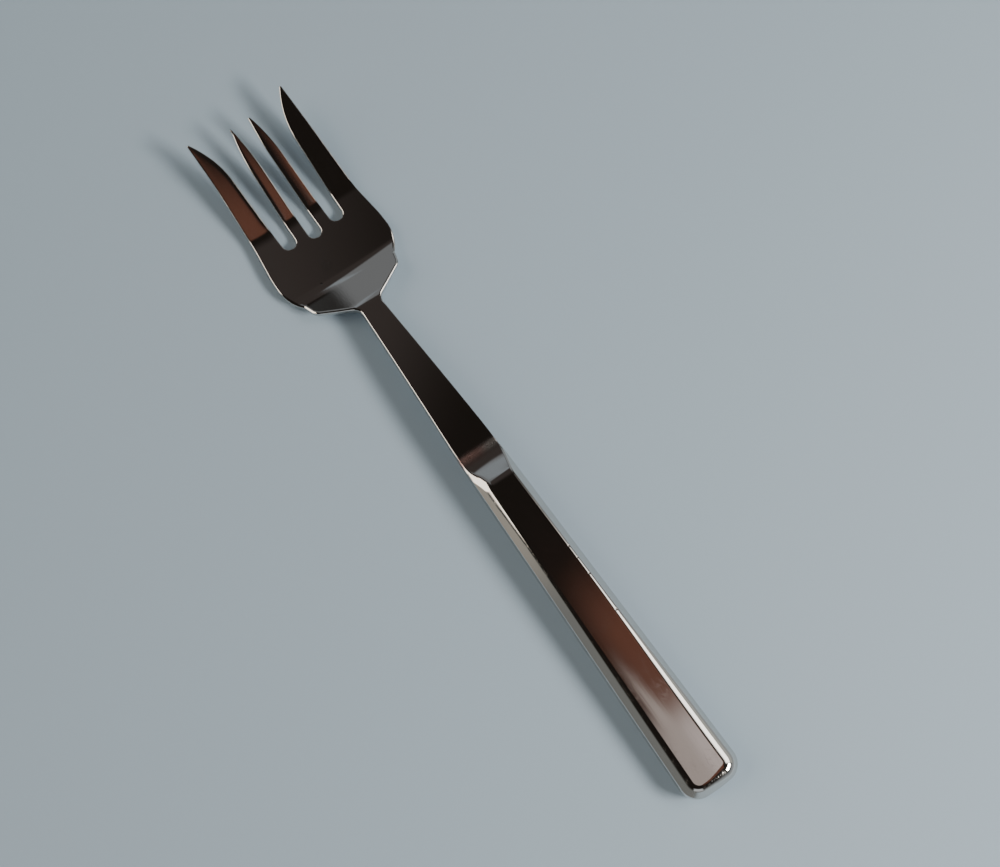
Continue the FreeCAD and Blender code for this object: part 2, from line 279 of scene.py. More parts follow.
@dataclass
class Fork:
    """The whole fork, forged and polished in one piece.

    Names that end in x are places along the fork from the butt, and pairs
    that end in grows or fades are the places between which something sets in.
    """

    left: HeadSide = field(default_factory=lambda: HeadSide(
        outer_tip=Corner(239.5, 17.4, 0.42),
        outer_taper=Corner(230.6, 11.7, 30.0),
        inner_tip=Corner(236.6, 3.5, 0.42)))
    right: HeadSide = field(default_factory=lambda: HeadSide(
        outer_tip=Corner(240.5, 16.25, 0.42),
        outer_taper=Corner(231.4, 11.1, 30.0),
        inner_tip=Corner(238.4, 2.75, 0.42)))
    # The fork's line seen from the side.
    tilt: float = math.tan(math.radians(1.2))
    rest_x: float = 3.0
    handle_half_thick: float = 4.0
    shank_half_thick: float = 1.4
    ramp_top_x: float = 104.8
    ramp_foot_x: float = 112.0
    shank_bow_x: float = 139.5
    neck_x: float = 170.4
    neck_z: float = 4.81
    heel_x: float = 181.0
    bowl_thick: float = 2.0
    tine_bend_x: float = 203.6
    tine_thick: float = 1.8
    line_end_x: float = 243.1
    line_end_heights: Pair = (8.5424, 7.4916)
    # The handle's sloping sides, its slight crown, and the hollow across the blade.
    slope_angle: float = math.atan2(2.6, 2.4)
    dish_axis: float = 202.0
    dish_grows: Pair = (104.0, 114.0)
    crown: float = 300.0
    # The rim's roundings and the bevel behind the bowl.
    handle_round: float = 1.2
    handle_left_round: float = 1.5
    low_round: float = 0.7
    butt_round: float = 5.6
    butt_left_round: float = 2.6
    ramp_round: float = 4.0
    edge_round: float = 0.35
    head_bevel: float = 0.35
    # The tines' crowned faces, from the fork's left to its right.
    tine_crowns: tuple[float, ...] = (0.085, 0.085, 0.06, 0.0)
    tine_crown_grows: Pair = (200.0, 209.0)
    tine_crown_width: float = 3.5
    # Where the rim changes: across the butt, from left to right, and along the fork.
    butt_side: Pair = (4.0, -6.0)
    butt_fades: Pair = (80.0, 5.0)
    ramp_grows: Pair = (80.0, 106.0)
    slopes_end_x: float = 118.0
    edge_grows: Pair = (103.0, 112.0)
    blade_grows: Pair = (150.0, 160.0)
    bevel_grows: Pair = (166.0, 171.0)
    bevel_fades: Pair = (190.0, 181.0)
    # How finely the tines and slots are cut into faces.
    tine_columns: tuple[int, int] = (8, 6)
    slot_steps: int = 14
    outer_rows: int = 64
    inner_rows: int = 56
    tip_steps: int = 7

    def __post_init__(self) -> None:
        """Build the outline and the two height lines."""
        handle = [
            Corner(0.6, 9.3, 5.5),
            Corner(112.0, 6.5, 25.0),
            Corner(114.5, 6.23, 25.0),
            Corner(119.0, 6.15, 150.0),
        ]
        left = handle + self.left.corners()
        right = [corner.mirrored() for corner in reversed(handle + self.right.corners())]
        self.loop = RoundedLoop([Corner(0.0, 0.0, 50.0)] + left + right)
        self.tines = self.tine_edges()
        self.over = self.height_line(Side.UPPER)
        self.under = self.height_line(Side.LOWER)

    def axis(self, x: float) -> float:
        """Height of the handle's middle plane over the table at x."""
        return self.handle_half_thick + (x - self.rest_x) * self.tilt

    def height_line(self, side: Side) -> HeightLine:
        """The upper or lower line of the fork seen from the side.

        Args:
            side: which line.

        Returns:
            The line, from behind the butt to beyond the tips.
        """
        out = side.value
        thick, thin = self.handle_half_thick, self.shank_half_thick
        upper = side is Side.UPPER
        top, foot, bow = self.ramp_top_x, self.ramp_foot_x, self.shank_bow_x
        return HeightLine([
            Corner(-5.0, self.axis(-5.0) + out * thick, 0),
            Corner(top, self.axis(top) + out * thick, 8.0),
            Corner(foot, self.axis(foot) + out * thin, 18.0),
            Corner(bow, self.axis(bow) + out * thin, 540.0),
            Corner(self.neck_x, self.neck_z + out * thin, 10.0),
            Corner(self.heel_x, self.bowl_thick if upper else 0.0, 12.0),
            Corner(self.tine_bend_x, self.tine_thick if upper else 0.0, 22.0),
            Corner(self.line_end_x, self.line_end_heights[0 if upper else 1], 0),
        ])

    def tine_edges(self) -> list[tuple[Array, ...]]:
        """The two edges of each tine, as x and y of points with rising x."""
        loop = self.loop
        edges = []
        for first, tip, last in ((10, 12, 14), (15, 17, 19), (-19, -17, -15), (-14, -12, -10)):
            middle = loop.middle_of(tip)
            there = loop.at(np.linspace(loop.start_of(first), middle, 300))[0]
            back = loop.at(np.linspace(loop.end_of(last), middle, 300))[0]
            edges.append((there[:, 0], there[:, 1], back[:, 0], back[:, 1]))
        return edges

    def tine_fall(self, x: Array, y: Array) -> Array:
        """How far the crowned faces of the tines fall towards their edges.

        Across a tine, with t = -1 at one edge and 1 at the other, the face
        falls by c |t|^3. c grows from nothing at the roots and shrinks with
        the tine's width towards the tip. The fork's right tine is flat.

        Args:
            x: places along the fork.
            y: places across it.

        Returns:
            The falls, in millimetres.
        """
        fall = np.zeros_like(x)
        for crown, (x_one, y_one, x_other, y_other) in zip(self.tine_crowns, self.tines):
            one = np.interp(x, x_one, y_one)
            other = np.interp(x, x_other, y_other)
            # A tip's width never gets to nothing, so that t stays a number.
            width = np.maximum(np.abs(one - other), 0.05)
            t = np.abs(y - (one + other) / 2) / (width / 2)
            share = np.clip(width / self.tine_crown_width, 0, 1) * ease(x, *self.tine_crown_grows)
            # The rim's outermost points may lie a little beyond the edge, at t = 1.
            on_tine = t < 1.29
            fall = np.where(on_tine, crown * share * np.minimum(t, 1) ** 3, fall)
        return fall

    def surface(self, xy: Array, side: Side) -> tuple[Array, Array]:
        """Height and gradient of the upper or lower side.

        With z0 the line's height at x, and r = dish_axis - z0, the dished
        surface lies at z0 + k (r - sqrt(r^2 - y^2)). k goes from 0 on the
        handle to 1 on the shank. The polished handle has a slight crown: its
        flats fall by (1 - k) y^2 / (2 crown) towards the sides. The tines'
        faces are crowned too, and their gradient is taken by small steps.

        Args:
            xy: places, with x and y on the last axis.
            side: which side.

        Returns:
            The heights, and (dz/dx, dz/dy).
        """
        x, y = xy[..., 0], xy[..., 1]
        line = self.over if side is Side.UPPER else self.under
        base, slope = line.at(x.ravel())
        base, slope = base.reshape(x.shape), slope.reshape(x.shape)
        radius = self.dish_axis - base
        across = np.sqrt(radius ** 2 - y ** 2)
        share = ease(x, *self.dish_grows)
        near = 0.01
        growth = (ease(x + near, *self.dish_grows) - ease(x - near, *self.dish_grows)) / (2 * near)
        out = side.value
        fall = out * y / self.crown
        height = base + share * (radius - across) - (1 - share) * fall * y / 2
        along = slope + growth * (radius - across + fall * y / 2)
        along = along + share * slope * (radius / across - 1)
        crosswise = share * y / across - (1 - share) * fall
        height = height - out * self.tine_fall(x, y)
        step = 0.02
        along = along - out * (
            self.tine_fall(x + step, y) - self.tine_fall(x - step, y)) / (2 * step)
        crosswise = crosswise - out * (
            self.tine_fall(x, y + step) - self.tine_fall(x, y - step)) / (2 * step)
        return height, np.stack([along, crosswise], axis=-1)

    def stations(self) -> tuple[Array, dict[str, list[int]]]:
        """Places along the outline at which it is sampled.

        Returns:
            The distances along the loop, and the station numbers of named
            places, first on the fork's left and then on its right.
        """
        loop = self.loop
        tip, slot, inner, last = 12, 14, 17, 19
        front = 198.9
        half_slot = self.slot_steps // 2

        def divided(places: list[float], steps: list[int]) -> Array:
            """Even steps from each place to the next, without the last place."""
            return np.concatenate([
                np.linspace(a, b, n, endpoint=False) for a, b, n in zip(places, places[1:], steps)])

        # Each place's name and distance, and the steps to it from the place before.
        spans = [
            ("butt", 0.0, 0),
            ("corner", loop.start_of(1), 3),
            ("side", loop.end_of(1), 14),
            ("slow", loop.run_at_x(1, 97.0), 34),
            ("ramp", loop.start_of(2), 36),
            ("shank", loop.end_of(4), 18),
            ("neck", loop.start_of(5), 40),
            ("lobe", loop.end_of(5), 14),
            ("lobe_arc", loop.start_of(6), 16),
            ("notch", loop.end_of(6), 12),
            ("notch_arc", loop.start_of(7), 4),
            ("bowl", loop.end_of(7), 4),
            ("bowl_arc", loop.start_of(8), 4),
            ("bowl_side", loop.end_of(8), 16),
            ("base", loop.start_of(9), 2),
            ("front", loop.run_at_x(9, front), 10),
            ("outer_tip", loop.start_of(tip), self.outer_rows),
            ("outer_tip_middle", loop.middle_of(tip), self.tip_steps),
            ("outer_tip_end", loop.end_of(tip), self.tip_steps),
            ("slot", loop.start_of(slot), self.outer_rows),
            ("slot_middle", loop.end_of(slot), half_slot),
            ("slot_end", loop.end_of(slot + 1), half_slot),
            ("inner_tip", loop.start_of(inner), self.inner_rows),
            ("inner_tip_middle", loop.middle_of(inner), self.tip_steps),
            ("inner_tip_end", loop.end_of(inner), self.tip_steps),
            ("middle_slot", loop.start_of(last), self.inner_rows),
            ("middle_slot_arc", loop.end_of(last), half_slot),
        ]
        marks = [s for _, s, _ in spans]
        counts = [n for _, _, n in spans]
        right = divided(self.mirrored_marks(marks), counts[:0:-1])
        s = np.r_[divided(marks, counts[1:]), marks[-1], right]
        numbers = np.cumsum(counts).tolist()
        names = {name: [n, -n % len(s)] for (name, _, _), n in zip(spans, numbers)}
        return s, names

    def mirrored_marks(self, marks: list[float]) -> list[float]:
        """The marks of the right half, in the loop's order, back to the butt.

        The two halves have the same corners in mirrored order, so corner n of
        the left is corner -n of the right, and an arc's start becomes its end.

        Args:
            marks: the distances on the left half, from the butt on.

        Returns:
            The distances on the right half, from the middle slot to the butt.
        """
        loop = self.loop
        known = {}
        for corner in range(1, 20):
            known[round(loop.start_of(corner), 6)] = loop.end_of(-corner)
            known[round(loop.end_of(corner), 6)] = loop.start_of(-corner)
            known[round(loop.middle_of(corner), 6)] = loop.middle_of(-corner)
        result = []
        for s in reversed(marks[1:]):
            if round(s, 6) in known:
                result.append(known[round(s, 6)])
                continue
            x = float(loop.at(np.array([s]))[0][0, 0])
            corner = int(np.searchsorted(loop.s_start, s) - 1)
            result.append(loop.run_at_x(-corner - 1, x))
        return result + [loop.length]

    def rim_sizes(self, place: Array) -> tuple[Array, Array, Array]:
        """Sizes of the rim's profile at places along the fork.

        The profile is a slope between two rounded corners. On the handle the
        slope is long. It shrinks to nothing down the ramp, and on the blade
        the two arcs meet and make one rounded edge, broader round the back of
        the bowl. The butt is rubbed rounder on the fork's right, and the ramp
        on its left.

        Args:
            place: places on the outline, with x and y on the last axis.

        Returns:
            The slope's length between its sharp corners, and the radii of its
            upper and lower corner.
        """
        x, y = place[:, 0], place[:, 1]
        up, down = math.tan(self.slope_angle / 2), math.tan(math.pi / 4 - self.slope_angle / 2)
        least = self.edge_round * (up + down)
        above = self.over.at(x)[0] - (self.axis(0.0) + x * self.tilt) - self.shank_half_thick
        above = np.where(x < self.slopes_end_x, np.maximum(above, 0), 0)
        slope = above / math.sin(self.slope_angle) + least * ease(x, *self.edge_grows)
        slope = slope + self.head_bevel * ease(x, *self.bevel_grows) * ease(x, *self.bevel_fades)
        share = np.clip((slope - least) / 2, 0, 1)
        low = self.edge_round + (self.low_round - self.edge_round) * share
        right = ease(y, *self.butt_side)
        butt = right * self.butt_round + (1 - right) * self.butt_left_round
        plain = right * self.handle_round + (1 - right) * self.handle_left_round
        high = plain + (butt - plain) * ease(x, *self.butt_fades)
        high = high + (self.ramp_round - plain) * ease(x, *self.ramp_grows) * (1 - right)
        # From the neck on, the upper corner takes all the room that the slope leaves it.
        high = high + self.ramp_round * ease(x, *self.blade_grows)
        room = (slope - low * down) / up
        high = np.minimum(high, np.maximum(room, self.edge_round))
        high = np.where(slope <= least * 1.0001, self.edge_round, high)
        return slope, high, low

    def rim(self, s: Array) -> tuple[Patch, Array]:
        """The rim: its profile carried along the whole outline.

        In the profile u runs inwards from the outline and h upwards from the
        slope's lower corner. With slope length L, slope angle a, upper radius
        r and lower radius q, the upper arc is
        (L cos a + r tan(a/2) - r sin f, L sin a - r (1 - cos f)), f = 0 .. a,
        and the lower arc is (q - q sin f, q cos f - q tan((90 - a)/2)),
        f = a .. 90 degrees.

        Args:
            s: the stations along the outline.

        Returns:
            The rim as a closed band, and the places of its innermost points.
        """
        place, heading, curve = self.loop.at(s)
        inward = np.stack([heading[:, 1], -heading[:, 0]], axis=1)
        slope, high, low = (v[:, None] for v in self.rim_sizes(place))
        a = self.slope_angle
        f_high, f_low = np.linspace(0, a, 6)[None], np.linspace(a, math.pi / 2, 6)[None]
        top = slope * math.sin(a)
        u_high = slope * math.cos(a) + high * math.tan(a / 2) - high * np.sin(f_high)
        h_high = top - high * (1 - np.cos(f_high))
        u_low = low - low * np.sin(f_low)
        h_low = low * np.cos(f_low) - low * math.tan(math.pi / 4 - a / 2)
        t = np.array([1 / 3, 2 / 3])[None]
        u = np.concatenate([u_high, u_high[:, -1:] * (1 - t) + u_low[:, :1] * t, u_low], 1)
        h = np.concatenate([h_high, h_high[:, -1:] * (1 - t) + h_low[:, :1] * t, h_low], 1)
        f = np.concatenate([f_high, np.full((1, 2), a), f_low], 1) + np.zeros_like(u)
        xy = place[:, None] + inward[:, None] * u[..., None]
        out = -inward[:, None]
        # In a bulge of the outline, points further in cover less way, and in a hollow more.
        speed = 1 + curve[:, None] * u
        s_wrap = np.r_[s[-1] - self.loop.length, s, s[0] + self.loop.length]
        wrap = np.r_[len(s) - 1, np.arange(len(s)), 0]
        u_s = np.gradient(u[wrap], s_wrap, axis=0)[1:-1]
        bands = []
        for side in Side:
            z, gradient = self.surface(xy, side)
            z = z - side.value * (top - h)
            rise = (gradient * out).sum(-1)
            tangent_down = np.concatenate([
                out * np.cos(f)[..., None],
                (-side.value * np.sin(f) + np.cos(f) * rise)[..., None]], axis=-1)
            z_s = np.gradient(z[wrap], s_wrap, axis=0)[1:-1]
            tangent_along = np.concatenate([
                heading[:, None] * speed[..., None] + inward[:, None] * u_s[..., None],
                z_s[..., None]], axis=-1)
            normal = unit(np.cross(tangent_along, tangent_down))
            outward = np.concatenate([
                out * np.sin(f)[..., None], (side.value * np.cos(f))[..., None]], axis=-1)
            normal *= np.sign((normal * outward).sum(-1, keepdims=True))
            bands.append((np.concatenate([xy, z[..., None]], -1), normal))
        points = np.concatenate([bands[0][0], bands[1][0][:, ::-1]], axis=1)
        normals = np.concatenate([bands[0][1], bands[1][1][:, ::-1]], axis=1)
        closed = np.r_[np.arange(len(s)), 0]
        # The two rounded corners are rubbed, and the slope between them is not.
        worn = np.array([0.2, 0.6, 1.0, 1.0, 0.6, 0.2, 0, 0, 0.2, 0.6, 1.0, 1.0, 0.6, 0.3])
        wear = np.r_[worn, worn[::-1]] + np.zeros((len(closed), 1))
        return Patch(points[closed], normals[closed], wear), xy[:, 0]

    def inside(self, ring: Array, names: dict[str, list[int]]) -> list[Array]:
        """Places of the grids that fill the fork inside its rim.

        Each row lies straight across between two points of the ring, at
        (1 - c) left + c right. Between the bowl and the slots, the rows blend
        from a straight one to the line along the slots' ends.

        Args:
            ring: the innermost points of the rim.
            names: the station numbers of named places.

        Returns:
            Grids of places, with x and y on the last axis.
        """
        def chain(start: int, stop: int) -> Array:
            """The ring's points from one station to another, either way round."""
            step = 1 if stop >= start else -1
            return ring[np.arange(start, stop + step, step) % len(ring)]

        total = len(ring)
        pick = {name: (a, b if b else total) for name, (a, b) in names.items()}
        base, front, middle = pick["base"], pick["front"], pick["middle_slot"]
        slot, slot_end = pick["slot"], pick["slot_end"]
        outer, inner = self.tine_columns

        def across(a: Array, b: Array, columns: int) -> Array:
            """Points straight across from a to b."""
            c = np.linspace(0, 1, columns + 1)[:, None]
            return a * (1 - c) + b * c

        edge = [
            across(ring[front[0]], ring[slot[0]], outer),
            chain(slot[0], slot_end[0]),
            across(ring[slot_end[0]], ring[middle[0]], inner),
            chain(middle[0], middle[1]),
            across(ring[middle[1]], ring[slot_end[1]], inner),
            chain(slot_end[1], slot[1]),
            across(ring[slot[1]], ring[front[1]], outer),
        ]
        edge = np.concatenate([edge[0]] + [piece[1:] for piece in edge[1:]])
        share = (edge[:, 1] - edge[-1, 1]) / (edge[0, 1] - edge[-1, 1])

        left = chain(0, base[0])
        right = chain(total, base[1])
        back = left[:, None] * share[None, :, None] + right[:, None] * (1 - share)[None, :, None]

        left = chain(base[0], front[0])
        right = chain(base[1], front[1])
        gone = np.linalg.norm(np.diff(left, axis=0), axis=1)
        t = (np.r_[0, np.cumsum(gone)] / gone.sum())[:, None, None]
        blend = back[-1][None] * (1 - t) + edge[None] * t
        columns = np.arange(len(edge))
        near_left = np.clip(1 - columns / outer, 0, 1)[None, :, None]
        near_right = near_left[:, ::-1]
        blend = blend + (left - blend[:, 0])[:, None] * near_left
        blend = blend + (right - blend[:, -1])[:, None] * near_right

        grids = [back, blend]
        tines = (
            (front, slot, outer, pick["outer_tip_middle"]),
            (slot_end, middle, inner, pick["inner_tip_middle"]))
        for half, turn in enumerate((1, -1)):
            for one, other, count, tip in tines:
                a, b = chain(one[half], tip[half]), chain(other[half], tip[half])
                c = np.linspace(0, 1, count + 1)[None, :, None]
                grids.append((a[:, None] * (1 - c) + b[:, None] * c)[:, ::turn])
        return grids

    def patches(self) -> list[Patch]:
        """Every grid of the fork's surface."""
        s, names = self.stations()
        rim, ring = self.rim(s)
        patches = [rim]
        for grid in self.inside(ring, names):
            for side in Side:
                z, gradient = self.surface(grid, side)
                normal = np.concatenate([-gradient, np.ones_like(z)[..., None]], -1)
                place = np.concatenate([grid, z[..., None]], -1)
                patches.append(Patch(place, unit(normal) * side.value, np.zeros(z.shape)))
        return patches

    def build(self, name: str) -> bpy.types.Object:
        """Make the fork's mesh and its object.

        Args:
            name: the object's name.

        Returns:
            The object, with its place in its mesh.
        """
        points, normals, wear, faces = weld(self.patches())
        points[:, 0] -= MIDDLE_X
        mesh = bpy.data.meshes.new(name)
        mesh.from_pydata((points * MILLIMETRE).tolist(), [], faces)
        mesh.polygons.foreach_set("use_smooth", np.ones(len(mesh.polygons), dtype=bool))
        mesh.attributes.new("wear", "FLOAT", "POINT").data.foreach_set("value", wear)
        mesh.normals_split_custom_set_from_vertices(normals.tolist())
        piece = bpy.data.objects.new(name, mesh)
        bpy.context.scene.collection.objects.link(piece)
        return piece


def weld(patches: list[Patch]) -> tuple[Array, Array, Array, list[list[int]]]:
    """Join the grids into one closed mesh.

    Points less than a hundred-thousandth of a millimetre apart become one,
    with the mean of their normals and the most of their wear. Each face is
    turned so that it looks the way of its normals, and a face with two
    corners in one place loses one.

    Args:
        patches: the grids, which share their border points.

    Returns:
        The points, their normals, their wear, and the faces as lists of point
        numbers.
    """
    points = np.concatenate([p.points.reshape(-1, 3) for p in patches])
    normals = np.concatenate([p.normals.reshape(-1, 3) for p in patches])
    each_wear = np.concatenate([p.wear.ravel() for p in patches])
    quads = []
    offset = 0
    for patch in patches:
        rows, columns = patch.points.shape[:2]
        number = offset + np.arange(rows * columns).reshape(rows, columns)
        quads.append(np.stack([
            number[:-1, :-1], number[1:, :-1], number[1:, 1:], number[:-1, 1:]], -1).reshape(-1, 4))
        offset += rows * columns
    quads = np.concatenate(quads)
    _, first, same = np.unique(np.round(points, 5), axis=0, return_index=True, return_inverse=True)
    same = same.ravel()
    summed = np.zeros((len(first), 3))
    np.add.at(summed, same, normals)
    wear = np.zeros(len(first))
    np.maximum.at(wear, same, each_wear)
    points, normals = points[first], unit(summed)
    quads = same[quads]
    across = points[quads[:, 2]] - points[quads[:, 0]]
    other = points[quads[:, 3]] - points[quads[:, 1]]
    facing = np.cross(across, other)
    keep = np.linalg.norm(facing, axis=1) > 1e-9
    flip = (facing * normals[quads].sum(1)).sum(1) < 0
    quads[flip] = quads[flip][:, ::-1]
    faces = []
    for quad in quads[keep].tolist():
        corners = [n for place, n in enumerate(quad) if n != quad[place - 1]]
        if len(corners) > 2:
            faces.append(corners)
    return points, normals, wear, faces


def linear(hex_colour: str) -> tuple[float, float, float, float]:
    """A colour's linear values from its sRGB hex value, such as #C8C4BE."""
    parts = [int(hex_colour[n:n + 2], 16) / 255 for n in (1, 3, 5)]
    values = [p / 12.92 if p <= 0.04045 else ((p + 0.055) / 1.055) ** 2.4 for p in parts]
    return (*values, 1.0)


def add_node(tree: NodeTree, kind: str, settings: dict | None = None,
             **inputs: object) -> bpy.types.Node:
    """Add a node with its settings, values and links.

    Args:
        tree: the node tree.
        kind: the node's type name.
        settings: attributes of the node.
        inputs: socket name, with _ for a space, or i and a number, to a value
            or to an output socket that is linked to it.

    Returns:
        The node.
    """
    node = tree.nodes.new(kind)
    for name, value in (settings or {}).items():
        setattr(node, name, value)
    for name, value in inputs.items():
        numbered = name[0] == "i" and name[1:].isdigit()
        socket = node.inputs[int(name[1:]) if numbered else name.replace("_", " ")]
        if isinstance(value, NodeSocket):
            tree.links.new(value, socket)
        else:
            socket.default_value = value
    return node


def calculate(tree: NodeTree, operation: str, *values: object) -> NodeSocket:
    """Add a Math node and return its output."""
    inputs = {f"i{n}": value for n, value in enumerate(values)}
    return add_node(tree, "ShaderNodeMath", {"operation": operation}, **inputs).outputs[0]


def smooth(tree: NodeTree, value: object, low: float, high: float) -> NodeSocket:
    """Add a smooth step from 0 at low to 1 at high and return its output."""
    return add_node(
        tree, "ShaderNodeMapRange", {"interpolation_type": "SMOOTHSTEP"},
        Value=value, From_Min=low, From_Max=high, To_Min=0.0, To_Max=1.0).outputs[0]


def mix(tree: NodeTree, factor: object, one: object, other: object) -> NodeSocket:
    """Add a colour mix, one at factor 0 and other at factor 1, and return its output."""
    return add_node(
        tree, "ShaderNodeMix", {"data_type": "RGBA"}, i0=factor, i6=one, i7=other).outputs[2]


@dataclass(frozen=True)
class Mark:
    """A small mark of use, by the place of its middle and its radius, in millimetres."""

    place: Triple
    radius: float


@dataclass(frozen=True)
class PolishedSteel:
    """Stainless steel, ground along its length, mirror polished, used and washed.

    To the eye it is a neutral grey metal with almost a mirror's gloss. Faint
    streaks of grinding run along it, fine scratches of use cross it, its
    edges are rubbed and nicked, and the hollow at the ramp's foot, which the
    polishing wheel misses, stays hazy. On the fork's left a pink reflection is
    painted into the hollow's colour. Lengths are millimetres.
    """

    colour: str = "#CFCCC8"
    # The colour of the hollow's left part: a pink reflection painted into the metal.
    painted_pink_reflection: str = "#CEAAA2"
    mark_colour: str = "#6E6763"
    gloss: float = 0.06
    uneven_gloss: float = 0.05
    rougher: tuple[tuple[str, float], ...] = (
        ("hollow", 0.21), ("scratches", 0.06), ("rubbed", 0.06), ("smudge", 0.10), ("nicks", 0.2))
    streak_height: float = 1.6
    deeper: tuple[tuple[str, float], ...] = (("scratches", 0.4), ("rubbed", 0.4), ("nicks", 25.0))
    hollow: Pair = (112.6, 116.7)
    nicks: tuple[Mark, ...] = (
        Mark((78.0, -4.75, 9.4), 0.45),
        Mark((74.0, -4.85, 9.3), 0.40),
        Mark((68.5, -4.95, 9.2), 0.45),
        Mark((56.0, -5.20, 8.9), 0.50),
        Mark((183.0, 7.5, 2.2), 0.45),
        Mark((228.5, 5.3, 5.9), 0.35),
        Mark((231.5, 5.0, 6.5), 0.40),
    )
    smudge: Mark = Mark((187.0, 3.0, 2.0), 2.2)

    def material(self) -> bpy.types.Material:
        """Make the material.

        Returns:
            The material, which reads Object coordinates and the wear attribute.
        """
        made = bpy.data.materials.new("polished_steel")
        made.use_nodes = True
        tree = made.node_tree
        shader = tree.nodes["Principled BSDF"]
        shader.inputs["Metallic"].default_value = 1.0
        metres = add_node(tree, "ShaderNodeTexCoord").outputs["Object"]
        scaled = add_node(
            tree, "ShaderNodeVectorMath", {"operation": "SCALE"}, i0=metres, Scale=1000.0).outputs[0]
        place = add_node(
            tree, "ShaderNodeVectorMath", {"operation": "ADD"}, i0=scaled,
            i1=(MIDDLE_X, 0, 0)).outputs[0]
        parts = add_node(tree, "ShaderNodeSeparateXYZ", Vector=place).outputs
        patches = self.noise(tree, place, 20.0, 16.0, 9.0, 3.0)
        masks = self.masks(tree, place, parts["X"], patches)

        # A mirror's gloss that is a little uneven from wiping, and duller where it is marked.
        rough = calculate(
            tree, "MULTIPLY_ADD", patches, self.uneven_gloss, self.gloss - self.uneven_gloss / 2)
        for name, more in self.rougher:
            rough = calculate(tree, "MULTIPLY_ADD", masks[name], more, rough)
        tree.links.new(rough, shader.inputs["Roughness"])

        # Real grinding lines are 0.02 mm wide; these are 0.7 mm, to show in the picture.
        # The height is in thousandths of a millimetre, as is the bump's distance.
        height = calculate(
            tree, "MULTIPLY", self.noise(tree, place, 0.0, 25.0, 0.7, 2.0), self.streak_height)
        for name, depth in self.deeper:
            height = calculate(tree, "MULTIPLY_ADD", masks[name], -depth, height)
        bump = add_node(tree, "ShaderNodeBump", Strength=1.0, Distance=1e-6, Height=height)
        tree.links.new(bump.outputs[0], shader.inputs["Normal"])

        # In the hazy hollow a pink reflection is painted into the colour on the fork's left, and dents
        # and smudge look dark.
        pink_reflection_share = calculate(tree, "MULTIPLY", masks["hollow"], smooth(tree, parts["Y"], -4.0, 1.0))
        colour = mix(tree, pink_reflection_share, linear(self.colour), linear(self.painted_pink_reflection))
        faint = calculate(tree, "MULTIPLY", masks["smudge"], 0.25)
        dark = calculate(tree, "MAXIMUM", masks["nicks"], faint)
        colour = mix(tree, dark, colour, linear(self.mark_colour))
        tree.links.new(colour, shader.inputs["Base Color"])
        return made

    def masks(self, tree: NodeTree, place: NodeSocket, x: NodeSocket,
              patches: NodeSocket) -> dict[str, NodeSocket]:
        """Where the marks of making and of use lie.

        Args:
            tree: the node tree.
            place: the place in millimetres.
            x: its first part, from the butt on.
            patches: a soft uneven noise, which says where the fork is scratched.

        Returns:
            Each mark's name with its strength, from 0 to 1.
        """
        # The haze, and the pink reflection painted over its left part, set in and end softly.
        first, last = self.hollow
        hollow = calculate(
            tree, "MULTIPLY", smooth(tree, x, first - 0.8, first + 2.0),
            smooth(tree, x, last + 0.7, last - 1.6))
        nicks = self.dot(tree, place, self.nicks[0])
        for mark in self.nicks[1:]:
            nicks = calculate(tree, "MAXIMUM", nicks, self.dot(tree, place, mark))
        # Fine scratches run nearly along the fork or across it, most of them near the butt.
        crossed = calculate(
            tree, "MAXIMUM", self.lines(tree, place, 9.0, 14.0, 1.1),
            self.lines(tree, place, -38.0, 9.0, 1.8))
        near_butt = calculate(tree, "MULTIPLY_ADD", smooth(tree, x, 62.0, 34.0), 0.75, 0.25)
        used = calculate(tree, "MULTIPLY", smooth(tree, patches, 0.40, 0.60), near_butt)
        # The edges are rubbed in short broken stretches.
        wear = add_node(tree, "ShaderNodeAttribute", {"attribute_name": "wear"}).outputs["Fac"]
        broken = smooth(tree, self.noise(tree, place, 0.0, 1.6, 0.8, 2.0), 0.5, 0.66)
        return {
            "hollow": hollow,
            "nicks": nicks,
            "smudge": self.dot(tree, place, self.smudge),
            "scratches": calculate(tree, "MULTIPLY", crossed, used),
            "rubbed": calculate(tree, "MULTIPLY", wear, broken),
        }

    def noise(self, tree: NodeTree, place: NodeSocket, angle: float, length: float,
              width: float, detail: float) -> NodeSocket:
        """Noise that is stretched along a direction.

        Args:
            tree: the node tree.
            place: the place in millimetres.
            angle: the direction, in degrees from the fork's length.
            length: size of its grains along that direction.
            width: size of its grains across it.
            detail: how many finer octaves it has.

        Returns:
            The noise, about 0.5.
        """
        turned = add_node(
            tree, "ShaderNodeVectorRotate", {"rotation_type": "Z_AXIS"}, Vector=place,
            Angle=math.radians(angle)).outputs[0]
        grain = add_node(
            tree, "ShaderNodeVectorMath", {"operation": "MULTIPLY"}, i0=turned,
            i1=(1 / length, 1 / width, 1 / width)).outputs[0]
        return add_node(tree, "ShaderNodeTexNoise", Vector=grain, Scale=1.0, Detail=detail).outputs[0]

    def lines(self, tree: NodeTree, place: NodeSocket, angle: float, length: float,
              spacing: float) -> NodeSocket:
        """Fine scratches: 1 where a stretched noise passes its middle value."""
        noise = self.noise(tree, place, angle, length, spacing, 1.0)
        away = calculate(tree, "ABSOLUTE", calculate(tree, "SUBTRACT", noise, 0.5))
        return smooth(tree, away, 0.03, 0.0)

    def dot(self, tree: NodeTree, place: NodeSocket, mark: Mark) -> NodeSocket:
        """A round spot: 1 in the mark's middle, falling to 0 at its radius."""
        away = add_node(
            tree, "ShaderNodeVectorMath", {"operation": "DISTANCE"}, i0=place, i1=mark.place)
        return smooth(tree, away.outputs["Value"], mark.radius, mark.radius * 0.3)


